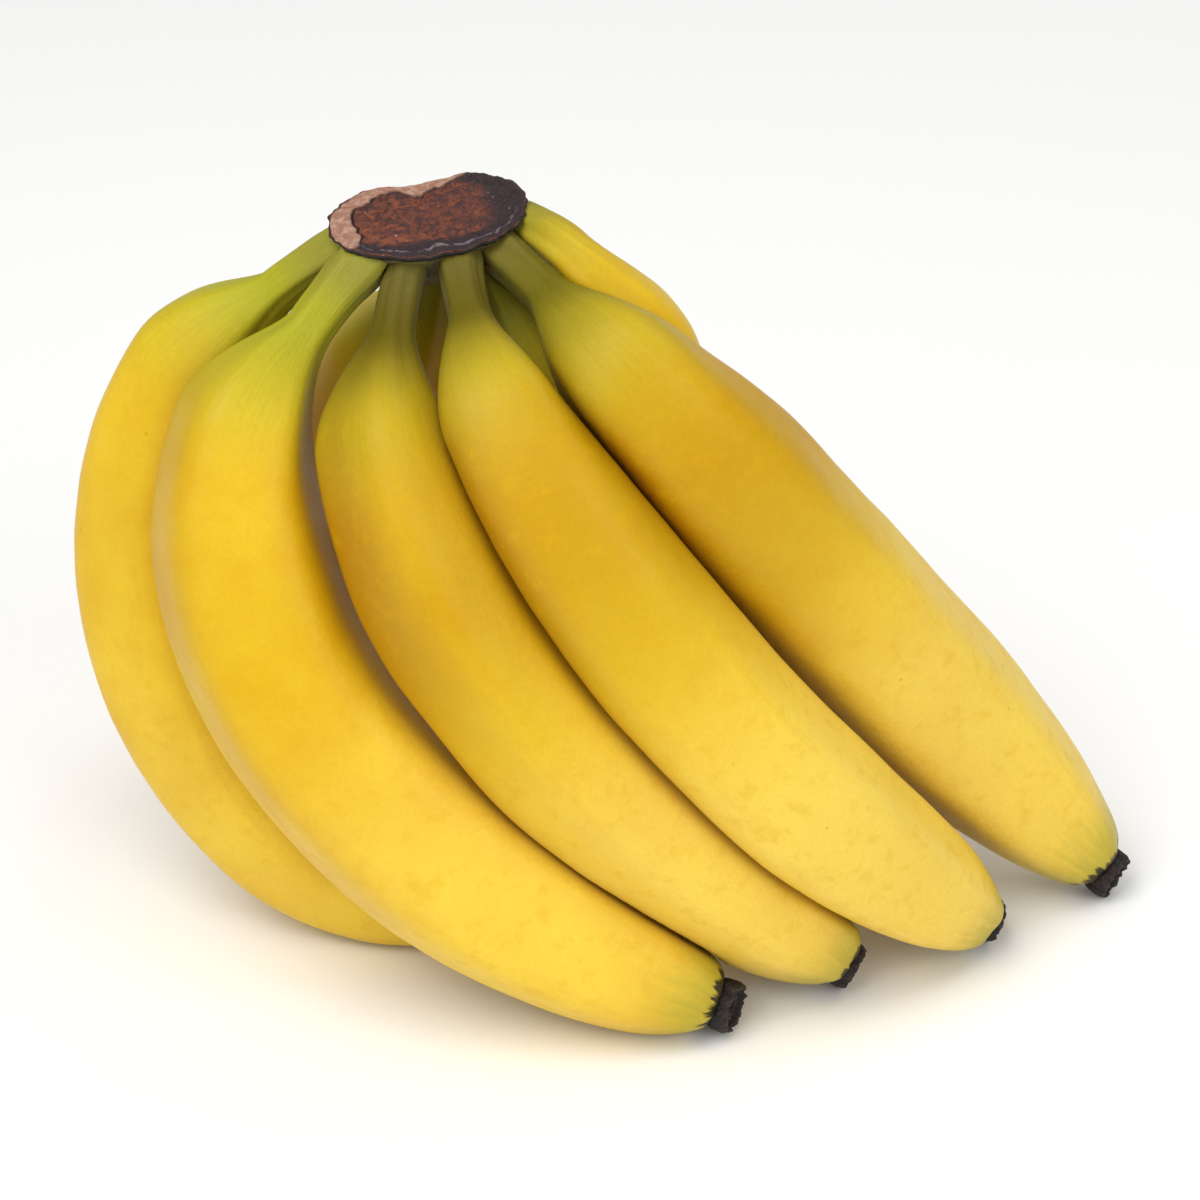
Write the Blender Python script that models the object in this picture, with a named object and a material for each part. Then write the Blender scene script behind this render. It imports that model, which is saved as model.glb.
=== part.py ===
"""A cut hand of eight bananas, resting on a table on its finger tips with the crown on top.

The hand is one piece of crown, with an outer and an inner row of four fingers each and a dried
blossom end on every finger. A finger is a soft five-sided tube along a cubic Bezier spine, which
leaves the crown at its seat and ends at its tip on the table. Where two fingers press together,
each keeps to its own side of the plane midway between their spines, so both are flattened there.
Lengths in the driving dimensions are millimetres and angles are degrees.
"""

import math
from dataclasses import dataclass

import bmesh
import bpy
import numpy as np

MM = 0.001

# The crown: middle of its cut face above the table, and the face's half length and half depth.
CROWN_CENTRE = (-36.1, -7.4, 159.4)
CROWN_TILT = 15.0          # the face leans this far towards -Y
CROWN_TURN = 14.0          # and is turned this far about its own normal
CROWN_HALF_LENGTH = 20.5
CROWN_HALF_DEPTH = 13.0
CROWN_KIDNEY = 3.5         # how far the face's far edge is drawn in at its middle
CROWN_LEVELS = ((0.0, 0.96), (1.0, 1.0), (2.5, 0.96), (5.0, 0.80), (10.0, 0.66), (14.5, 0.46))  # depth, scale
CROWN_SIDES = 28

# One finger's girth along its length, as parts of its widest radius or in millimetres.
STEM_RADIUS = 0.31
STEM_LENGTH = 17.0
OUTER_SHOULDER = 24.0      # the convex side swells over this length past the stem
INNER_SHOULDER = 58.0      # and the concave side over this length
SHOULDER_EASE = 0.8
WIDEST_AT = 0.55
BELLY = 0.17               # how much the girth falls from the widest place to an end
TAPER_LENGTH = 66.0
TIP_RADIUS = 0.30
FACETS = 5
STEM_CORNERS = 8.0         # how sharp the section's corners are at the stem, from 2, round, upwards
BODY_CORNERS = 6.0         # and along the body

# The dried blossom end, and the gaps between neighbours.
BLOSSOM_LENGTH = 5.5
BLOSSOM_LEVELS = ((0.0, 0.80), (0.35, 0.92), (0.8, 0.90), (1.0, 0.64))  # part of length, scale
BLOSSOM_SIDES = 10
BLOSSOM_LEAN = (0.30, -0.55, 0.32)  # added to the finger's direction at the blossom end's face
TOUCH_GAP = 0.3
PRESS_GAP = 1.0
PRESS_SHARPNESS = 24.0
LEAST_RADIUS = 2.2

# Mesh fineness.
SPINE_SAMPLES = 121
FINGER_RINGS = 28
FINGER_SIDES = 20


@dataclass(frozen=True)
class Finger:
    """One banana: where it leaves the crown, where its tip lies, and its girth."""

    name: str
    seat: tuple            # along and across the crown's face, and depth under it
    leaves: tuple          # azimuth, dip and pull of the spine at the crown
    tip: tuple             # tip from the crown's middle in plan, and its height above the table
    arrives: tuple         # azimuth, dip and pull of the spine at the tip
    radius: float
    roll: float = 0.0      # turn of the ridges about the spine


FINGERS = (
    Finger("outer_1", (-13.5, -5.0, 5.5), (211, 37, 90), (62, -53, 5.4), (-5, 20, 69), 19.7, 49),
    Finger("outer_2", (-4.5, -5.5, 6.0), (252, 33, 75), (86, -36, 3.2), (18, 46, 66), 18.5, 36),
    Finger("outer_3", (4.5, -5.5, 6.0), (274, 14, 68), (116, -18, 3.3), (42, 37, 80), 17.2, 60),
    Finger("outer_4", (12.5, -5.0, 7.5), (301, 6, 80), (143, -4, 3.3), (-14, 42, 88), 18.9, 36),
    Finger("inner_1", (-17.0, 1.5, 7), (170, 34, 96), (19, -23, 18.3), (-11, -29, 66), 18.2, 30),
    Finger("inner_2", (2.5, 4.0, 7), (40, 82, 47), (33, 70, 4.0), (-3, 22, 110), 18.0, 20),
    Finger("inner_3", (8.5, 2.5, 9), (311, 42, 75), (70, 47, 6.6), (54, 9, 64), 18.0, 20),
    Finger("inner_4", (17.0, 1.5, 8), (310, -10, 62), (108, 43, 3.5), (-2, 36, 116), 18.2, 20),
)

PEEL = {"name": "banana_peel", "colour": (0.86, 0.60, 0.06), "roughness": 0.45}
CROWN = {"name": "crown_cut", "colour": (0.12, 0.05, 0.03), "roughness": 0.85}
BLOSSOM = {"name": "blossom_dried", "colour": (0.02, 0.015, 0.012), "roughness": 0.9}


def heading(azimuth, dip):
    """Unit vector at an azimuth from +X, pointing down by the dip."""
    az, dp = math.radians(azimuth), math.radians(dip)
    return np.array([math.cos(dp) * math.cos(az), math.cos(dp) * math.sin(az), -math.sin(dp)])


def crown_axes():
    """The cut face's long axis, cross axis and outward normal."""
    tilt, turn = math.radians(CROWN_TILT), math.radians(CROWN_TURN)
    level = np.array([1.0, 0.0, 0.0])
    slope = np.array([0.0, math.cos(tilt), math.sin(tilt)])
    along = math.cos(turn) * level + math.sin(turn) * slope
    across = math.cos(turn) * slope - math.sin(turn) * level
    return along, across, np.cross(along, across)


def spine(finger):
    """Points along a finger's cubic Bezier spine and the distance along it of each."""
    along, across, normal = crown_axes()
    centre = np.array(CROWN_CENTRE)
    start = centre + finger.seat[0] * along + finger.seat[1] * across - finger.seat[2] * normal
    end = np.array([centre[0] + finger.tip[0], centre[1] + finger.tip[1], finger.tip[2]])
    first = start + finger.leaves[2] * heading(*finger.leaves[:2])
    second = end - finger.arrives[2] * heading(*finger.arrives[:2])
    t = np.linspace(0.0, 1.0, SPINE_SAMPLES)[:, None]
    points = ((1 - t) ** 3 * start + 3 * t * (1 - t) ** 2 * first
              + 3 * t ** 2 * (1 - t) * second + t ** 3 * end)
    steps = np.linalg.norm(np.diff(points, axis=0), axis=1)
    return points, np.concatenate([[0.0], np.cumsum(steps)])


def swell(distance, length):
    """Rise from 0 to 1 over a length, steep at its start and level at its end."""
    x = np.clip(distance / length, 0.0, 1.0) ** SHOULDER_EASE
    return x * x * (3.0 - 2.0 * x)


def plain_radius(s, length, widest, outward):
    """Radius at distance s along a spine, where outward is 1 on the convex and 0 on the concave side."""
    past_stem = s - STEM_LENGTH
    up = outward * swell(past_stem, OUTER_SHOULDER) + (1.0 - outward) * swell(past_stem, INNER_SHOULDER)
    rise = STEM_RADIUS + (1.0 - STEM_RADIUS) * up
    belly = 1.0 - BELLY * ((s / length - WIDEST_AT) / (1.0 - WIDEST_AT)) ** 2
    from_tip = np.clip((length - BLOSSOM_LENGTH - s) / TAPER_LENGTH, 0.0, 1.0)
    fall = TIP_RADIUS + (1.0 - TIP_RADIUS) * np.sqrt(1.0 - (1.0 - from_tip) ** 2)
    return widest * rise * belly * fall


def section_factor(angle, roll, corners):
    """Radius of a rounded five-sided section at each angle, over its mean, with a corner at the roll."""
    pitch = 2.0 * math.pi / FACETS
    facets = math.radians(roll) + pitch * (np.arange(FACETS) + 0.5)
    facing = np.maximum(np.cos(angle[None, :, None] - facets), 0.0)
    factor = (facing ** corners[:, None, None]).sum(axis=2) ** (-1.0 / corners[:, None])
    return factor / factor.mean(axis=1, keepdims=True)


def rings_at(s, points, distances):
    """Centre, tangent and the two section axes (convex side, then sideways) at distances s."""
    centre = np.stack([np.interp(s, distances, points[:, k]) for k in range(3)], axis=1)
    slopes = np.gradient(points, distances, axis=0)
    tangent = np.stack([np.interp(s, distances, slopes[:, k]) for k in range(3)], axis=1)
    tangent /= np.linalg.norm(tangent, axis=1, keepdims=True)
    side = np.cross(slopes[0], slopes[-1])
    side = side - (tangent @ side)[:, None] * tangent
    side /= np.linalg.norm(side, axis=1, keepdims=True)
    return centre, tangent, np.cross(tangent, side), side


def press(centre, outwards, radius, others):
    """Radii held back to this finger's side of the planes midway to its neighbours.

    Each entry of others is a neighbour's spine points with its plain radius at each. The limits
    are joined with a high power mean, which rounds the edges of the flattened places.
    """
    power = radius ** -PRESS_SHARPNESS
    surface = centre[:, None, :] + radius[..., None] * outwards
    for points, girths in others:
        gaps = np.linalg.norm(surface[:, :, None, :] - points, axis=3)
        nearest = gaps.argmin(axis=2)
        towards = points[nearest] - centre[:, None, :]
        reach = np.linalg.norm(towards, axis=2)
        lean = (outwards * towards).sum(axis=2) / reach
        limit = (reach + radius - girths[nearest] - PRESS_GAP) / 2.0
        limit = np.maximum(limit, LEAST_RADIUS) / np.maximum(lean, 0.05)
        power = power + np.where(lean > 0.05, limit, 1e3) ** -PRESS_SHARPNESS
    return power ** (-1.0 / PRESS_SHARPNESS)


def finger_surface(finger, spines):
    """Ring points of one finger from the crown to its blossom end, and the end ring's frame."""
    points, distances = spines[finger.name]
    length = distances[-1]
    t = np.linspace(0.0, 1.0, FINGER_RINGS)
    even = 0.5 * t + 0.25 * (1.0 - np.cos(math.pi * t))
    s = even * (length - BLOSSOM_LENGTH)
    centre, tangent, convex, side = rings_at(s, points, distances)
    angle = np.arange(FINGER_SIDES) * 2.0 * math.pi / FINGER_SIDES + math.radians(finger.roll)
    outwards = np.cos(angle)[None, :, None] * convex[:, None, :]
    outwards = outwards + np.sin(angle)[None, :, None] * side[:, None, :]
    radius = plain_radius(s[:, None], length, finger.radius, (1.0 + np.cos(angle)) / 2.0)
    past_neck = np.clip(s / (STEM_LENGTH + OUTER_SHOULDER), 0.0, 1.0)
    radius = radius * section_factor(angle, finger.roll, STEM_CORNERS + (BODY_CORNERS - STEM_CORNERS) * past_neck)
    others = []
    for other in FINGERS:
        if other.name != finger.name:
            path, run = spines[other.name]
            others.append((path, plain_radius(run, run[-1], other.radius, 0.5)))
    radius = press(centre, outwards, radius, others)
    return centre[:, None, :] + radius[..., None] * outwards, (centre[-1], tangent[-1], convex[-1], side[-1])


def blossom_surface(finger, frame):
    """Ring points of the blossom end on the finger's end ring, bent by its lean from ring to face."""
    centre, tangent, convex, side = frame
    angle = np.arange(BLOSSOM_SIDES) * 2.0 * math.pi / BLOSSOM_SIDES
    circle = np.cos(angle)[:, None] * convex + np.sin(angle)[:, None] * side
    rings = []
    for part, scale in BLOSSOM_LEVELS:
        along = TOUCH_GAP + part * (BLOSSOM_LENGTH - TOUCH_GAP)
        facing = tangent + part * np.array(BLOSSOM_LEAN)
        facing /= np.linalg.norm(facing)
        halfway = tangent + facing
        halfway /= np.linalg.norm(halfway)
        fall = (circle @ facing)[:, None] / (1.0 + tangent @ facing)
        turned = circle - fall * (tangent + facing)
        rings.append(centre + along * halfway + scale * TIP_RADIUS * finger.radius * turned)
    return np.array(rings)


def crown_surface(spread):
    """Ring points of the crown from its cut face down, grown outwards by a spread."""
    along, across, normal = crown_axes()
    angle = np.arange(CROWN_SIDES) * 2.0 * math.pi / CROWN_SIDES
    notch = CROWN_KIDNEY * np.exp(-(CROWN_HALF_LENGTH * np.cos(angle) / 9.0) ** 2) * (np.sin(angle) > 0)
    u = CROWN_HALF_LENGTH * np.cos(angle)
    v = CROWN_HALF_DEPTH * np.sin(angle) - notch
    rings = []
    last = len(CROWN_LEVELS) - 1
    for index, (depth, scale) in enumerate(CROWN_LEVELS):
        grow = scale + spread / CROWN_HALF_DEPTH
        lift = spread * ((index == 0) - (index == last))
        middle = np.array(CROWN_CENTRE) - (depth - lift) * normal
        rings.append(middle + grow * (u[:, None] * along + v[:, None] * across))
    return np.array(rings)


def add_solid(name, rings, finish):
    """Make a closed, smooth-shaded object from rings of points, capped with flat ends."""
    mesh = bpy.data.meshes.new(name)
    solid = bmesh.new()
    loops = [[solid.verts.new(point * MM) for point in ring] for ring in rings]
    for lower, upper in zip(loops[:-1], loops[1:]):
        for k, vertex in enumerate(lower):
            after = (k + 1) % len(lower)
            solid.faces.new((vertex, lower[after], upper[after], upper[k]))
    solid.faces.new(list(reversed(loops[0])))
    solid.faces.new(loops[-1])
    bmesh.ops.recalc_face_normals(solid, faces=solid.faces)
    solid.to_mesh(mesh)
    solid.free()
    mesh.shade_smooth()
    mesh.set_sharp_from_angle(angle=math.radians(50.0))
    item = bpy.data.objects.new(name, mesh)
    bpy.context.scene.collection.objects.link(item)
    if finish:
        mesh.materials.append(finish)
    return item


def make_finish(look):
    """A plain Principled material from a name, a colour and a roughness."""
    finish = bpy.data.materials.new(look["name"])
    finish.use_nodes = True
    shader = finish.node_tree.nodes["Principled BSDF"]
    shader.inputs["Base Color"].default_value = (*look["colour"], 1.0)
    shader.inputs["Roughness"].default_value = look["roughness"]
    shader.inputs["Metallic"].default_value = 0.0
    return finish


def cut_by(item, cutter):
    """Cut an object with a cutter by an exact Boolean difference."""
    cut = item.modifiers.new("seat", "BOOLEAN")
    cut.operation = "DIFFERENCE"
    cut.solver = "EXACT"
    cut.object = cutter


def main():
    """Build the crown, its cutter, the fingers and their blossom ends."""
    for item in list(bpy.data.objects):
        bpy.data.objects.remove(item)
    peel, crown, blossom = (make_finish(look) for look in (PEEL, CROWN, BLOSSOM))
    add_solid("crown", crown_surface(0.0), crown)
    cutter = add_solid("crown_cutter", crown_surface(TOUCH_GAP), None)
    cutter.hide_render = True
    cutter.display_type = "WIRE"
    spines = {finger.name: spine(finger) for finger in FINGERS}
    for finger in FINGERS:
        rings, frame = finger_surface(finger, spines)
        cut_by(add_solid("finger_" + finger.name, rings, peel), cutter)
        add_solid("blossom_end_" + finger.name, blossom_surface(finger, frame), blossom)


main()
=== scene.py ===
"""The looks of a cut hand of eight bananas, resting on its finger tips with the crown on top.

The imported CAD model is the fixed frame. Each finger, each dried blossom end and the crown is worked
out again as a fine surface from the same driving dimensions, and stands for its CAD node. Lengths
in the dimensions are millimetres and angles are degrees; meshes are in metres.
"""

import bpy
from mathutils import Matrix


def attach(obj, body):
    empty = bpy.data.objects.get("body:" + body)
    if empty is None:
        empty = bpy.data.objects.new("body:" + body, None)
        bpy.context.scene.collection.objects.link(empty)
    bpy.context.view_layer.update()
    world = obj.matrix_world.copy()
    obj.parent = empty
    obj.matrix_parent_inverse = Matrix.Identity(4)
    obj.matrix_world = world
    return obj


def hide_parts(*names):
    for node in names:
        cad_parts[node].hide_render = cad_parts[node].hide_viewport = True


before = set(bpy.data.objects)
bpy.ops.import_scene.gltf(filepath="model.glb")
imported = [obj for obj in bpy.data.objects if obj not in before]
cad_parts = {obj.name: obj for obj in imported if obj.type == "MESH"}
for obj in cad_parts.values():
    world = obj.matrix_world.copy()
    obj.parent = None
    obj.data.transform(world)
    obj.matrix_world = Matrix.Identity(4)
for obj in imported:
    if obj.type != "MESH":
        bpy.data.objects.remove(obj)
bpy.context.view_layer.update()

import logging
import math
from dataclasses import dataclass, field
from enum import Enum
from typing import Union

import bpy
import numpy as np
from mathutils import Vector

LOG = logging.getLogger("banana_hand")
MM = 0.001
TURN = 2.0 * math.pi
Array = np.ndarray
Colour = tuple[float, float, float, float]


class Slot(Enum):
    """The record's material slots."""

    PEEL = "banana_peel"
    CROWN = "crown_cut"
    BLOSSOM = "blossom_dried"


class Lay(Enum):
    """How one colour is laid over another."""

    OVER = "MIX"
    TIMES = "MULTIPLY"


def tint(red: int, green: int, blue: int) -> Colour:
    """Linear colour with full alpha from display values.

    Args:
        red, green, blue: display values from 0 to 255.

    Returns:
        The linear colour as four numbers.
    """
    steps = np.array([red, green, blue]) / 255.0
    linear = np.where(steps <= 0.04045, steps / 12.92, ((steps + 0.055) / 1.055) ** 2.4)
    return (*linear.tolist(), 1.0)


def ripple(places: Array, size: float, seed: int, waves: int = 18) -> Array:
    """A smooth uneven field over points, about -1 to 1.

    The sum of sine waves that run in seeded directions with lengths from 0.7 to 1.6 times the
    size, over the square root of their number.

    Args:
        places: points as (..., 2) or (..., 3).
        size: the usual distance between two crests, in the points' own unit.
        seed: picks the directions, lengths and phases.
        waves: how many waves are summed.

    Returns:
        One number for each point.
    """
    rng = np.random.default_rng(seed)
    ways = rng.normal(size=(waves, places.shape[-1]))
    ways /= np.linalg.norm(ways, axis=1, keepdims=True)
    pitch = size * rng.uniform(0.7, 1.6, waves)
    phase = rng.uniform(0.0, TURN, waves)
    turns = places @ (ways / pitch[:, None]).T
    return np.sin(turns * TURN + phase).sum(axis=-1) / math.sqrt(waves)


def ease(value: Array, low: float, high: float) -> Array:
    """Smooth step from 0 at low to 1 at high: x squared times (3 - 2x)."""
    x = np.clip((value - low) / (high - low), 0.0, 1.0)
    return x * x * (3.0 - 2.0 * x)


def bell(value: Array, middle: float, breadth: float) -> Array:
    """Bell curve: e to the minus square of the distance from the middle over the breadth."""
    return np.exp(-((value - middle) / breadth) ** 2)


def circuit(count: int) -> Array:
    """Equal angles once round."""
    return np.arange(count) * TURN / count


def stacked(*fields: Array | float) -> Array:
    """Three fields, spread to one shape and stacked into vectors."""
    return np.stack(np.broadcast_arrays(*fields), axis=-1)


def heading(azimuth: float, dip: float) -> Array:
    """Unit vector at an azimuth from +X, pointing down by the dip."""
    az, dp = math.radians(azimuth), math.radians(dip)
    return np.array([math.cos(dp) * math.cos(az), math.cos(dp) * math.sin(az), -math.sin(dp)])


# --- meshes

def closed_mesh(name: str, rings: Array, marks: dict[str, Array]) -> bpy.types.Object:
    """A closed, smooth-shaded object from a grid of points.

    Neighbouring rings are joined by quads, and each end ring is closed with a fan round its mean.

    Args:
        name: the object's name.
        rings: points in millimetres as (rings, sides, 3).
        marks: numbers to keep at each point as attributes, as (rings, sides, 3).

    Returns:
        The new object, linked to the scene, with its place in its mesh.
    """
    count, sides = rings.shape[:2]
    points = np.concatenate([rings.reshape(-1, 3), rings[:1].mean(axis=1), rings[-1:].mean(axis=1)]) * MM
    first = np.arange(sides)
    after = (first + 1) % sides
    base = (np.arange(count - 1) * sides)[:, None]
    quads = np.stack([base + first, base + after, base + sides + after, base + sides + first], axis=-1)
    last = (count - 1) * sides
    start, end = count * sides, count * sides + 1
    lower = np.stack([after, first, np.full(sides, start)], axis=-1)
    upper = np.stack([last + first, last + after, np.full(sides, end)], axis=-1)
    mesh = bpy.data.meshes.new(name)
    mesh.from_pydata(points.tolist(), [], quads.reshape(-1, 4).tolist() + lower.tolist() + upper.tolist())
    volume = np.einsum("ij,ij->", points[quads[..., 0]].reshape(-1, 3),
                       np.cross(points[quads[..., 1]], points[quads[..., 2]]).reshape(-1, 3))
    if volume < 0.0:
        mesh.flip_normals()
    mesh.shade_smooth()
    for mark, values in marks.items():
        flat = np.concatenate([values.reshape(-1, 3), values[:1].mean(axis=1), values[-1:].mean(axis=1)])
        kept = mesh.attributes.new(mark, "FLOAT_VECTOR", "POINT")
        kept.data.foreach_set("vector", flat.astype(np.float32).ravel())
    item = bpy.data.objects.new(name, mesh)
    bpy.context.scene.collection.objects.link(item)
    return item


# --- node graphs

class Socket:
    """One output of a material's node graph, with arithmetic that adds Math nodes."""

    def __init__(self, graph: "Graph", output: bpy.types.NodeSocket) -> None:
        """Keep the graph and the output."""
        self.graph = graph
        self.output = output

    def __add__(self, other: "Value") -> "Socket":
        """Sum."""
        return self.graph.math("ADD", self, other)

    def __radd__(self, other: "Value") -> "Socket":
        """Sum with the socket on the right."""
        return self.graph.math("ADD", other, self)

    def __sub__(self, other: "Value") -> "Socket":
        """Difference."""
        return self.graph.math("SUBTRACT", self, other)

    def __rsub__(self, other: "Value") -> "Socket":
        """Difference with the socket on the right."""
        return self.graph.math("SUBTRACT", other, self)

    def __mul__(self, other: "Value") -> "Socket":
        """Product."""
        return self.graph.math("MULTIPLY", self, other)

    def __rmul__(self, other: "Value") -> "Socket":
        """Product with the socket on the right."""
        return self.graph.math("MULTIPLY", other, self)


Value = Union[float, "Socket"]


class Graph:
    """A material's node graph, built from sockets and expressions."""

    def __init__(self, name: str) -> None:
        """Start an empty material of that name."""
        self.material = bpy.data.materials.new(name)
        self.material.use_nodes = True
        self.tree = self.material.node_tree
        self.tree.nodes.clear()

    def node(self, kind: str, settings: dict | None = None, inputs: dict | None = None,
             output: int | str = 0) -> Socket:
        """Add one node.

        Args:
            kind: the node's type.
            settings: its properties, set first.
            inputs: a value or a Socket for each input, by name or place.
            output: the output wanted, by name or place.

        Returns:
            That output.
        """
        made = self.tree.nodes.new(kind)
        for key, value in (settings or {}).items():
            setattr(made, key, value)
        for key, value in (inputs or {}).items():
            if isinstance(value, Socket):
                self.tree.links.new(value.output, made.inputs[key])
            else:
                made.inputs[key].default_value = value
        return Socket(self, made.outputs[output])

    def math(self, operation: str, left: Value, right: Value) -> Socket:
        """One Math node on two values."""
        return self.node("ShaderNodeMath", {"operation": operation}, {0: left, 1: right})

    def place(self) -> Socket:
        """The point in the object's own coordinates, in metres."""
        return self.node("ShaderNodeTexCoord", output="Object")

    def mark(self, name: str) -> Socket:
        """A vector attribute of the piece."""
        return self.node("ShaderNodeAttribute", {"attribute_name": name}, output="Vector")

    def parts(self, vector: Socket) -> tuple[Socket, Socket, Socket]:
        """Split a vector.

        Args:
            vector: the vector.

        Returns:
            Its three numbers.
        """
        split = self.node("ShaderNodeSeparateXYZ", inputs={0: vector})
        owner = split.output.node
        return tuple(Socket(self, owner.outputs[k]) for k in range(3))

    def stretch(self, vector: Socket, factors: tuple[float, float, float]) -> Socket:
        """A vector times three factors."""
        return self.node("ShaderNodeVectorMath", {"operation": "MULTIPLY"}, {0: vector, 1: factors})

    def noise(self, vector: Socket, scale: float, detail: float = 3.0, roughness: float = 0.55) -> Socket:
        """Noise about 0.5 at a number of features per unit of the vector."""
        return self.node("ShaderNodeTexNoise", {"noise_dimensions": "3D"},
                         {"Vector": vector, "Scale": scale, "Detail": detail, "Roughness": roughness})

    def cells(self, vector: Socket, scale: float) -> Socket:
        """Distance to the nearest of scattered points, 0 at a point."""
        return self.node("ShaderNodeTexVoronoi", {"feature": "F1"}, {"Vector": vector, "Scale": scale},
                         "Distance")

    def smooth(self, value: Socket, low: float, high: float) -> Socket:
        """Smooth step from 0 at low to 1 at high, or from 1 to 0 where high is the lesser."""
        turned = high < low
        return self.node("ShaderNodeMapRange", {"interpolation_type": "SMOOTHSTEP"},
                         {0: value, 1: min(low, high), 2: max(low, high),
                          3: 1.0 if turned else 0.0, 4: 0.0 if turned else 1.0})

    def blend(self, factor: Value, under: Colour | Socket, over: Colour | Socket,
              lay: Lay = Lay.OVER) -> Socket:
        """One colour laid over another by a factor."""
        return self.node("ShaderNodeMix", {"data_type": "RGBA", "blend_type": lay.value},
                         {0: factor, 6: under, 7: over}, 2)

    def bump(self, height: Socket, distance: float, strength: float = 1.0,
             normal: Socket | None = None) -> Socket:
        """Bend a normal by a height field.

        Args:
            height: the field.
            distance: metres for a height of 1.
            strength: how much of it shows.
            normal: the normal to bend, or none for the surface's own.

        Returns:
            The bent normal.
        """
        inputs = {"Height": height, "Distance": distance, "Strength": strength}
        if normal is not None:
            inputs["Normal"] = normal
        return self.node("ShaderNodeBump", None, inputs, "Normal")

    def finish(self, inputs: dict) -> bpy.types.Material:
        """Close the graph with a Principled shader.

        Args:
            inputs: values and links of the shader's sockets.

        Returns:
            The material.
        """
        shader = self.node("ShaderNodeBsdfPrincipled", None, inputs)
        out = self.tree.nodes.new("ShaderNodeOutputMaterial")
        self.tree.links.new(shader.output, out.inputs["Surface"])
        return self.material


# --- finishes

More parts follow.
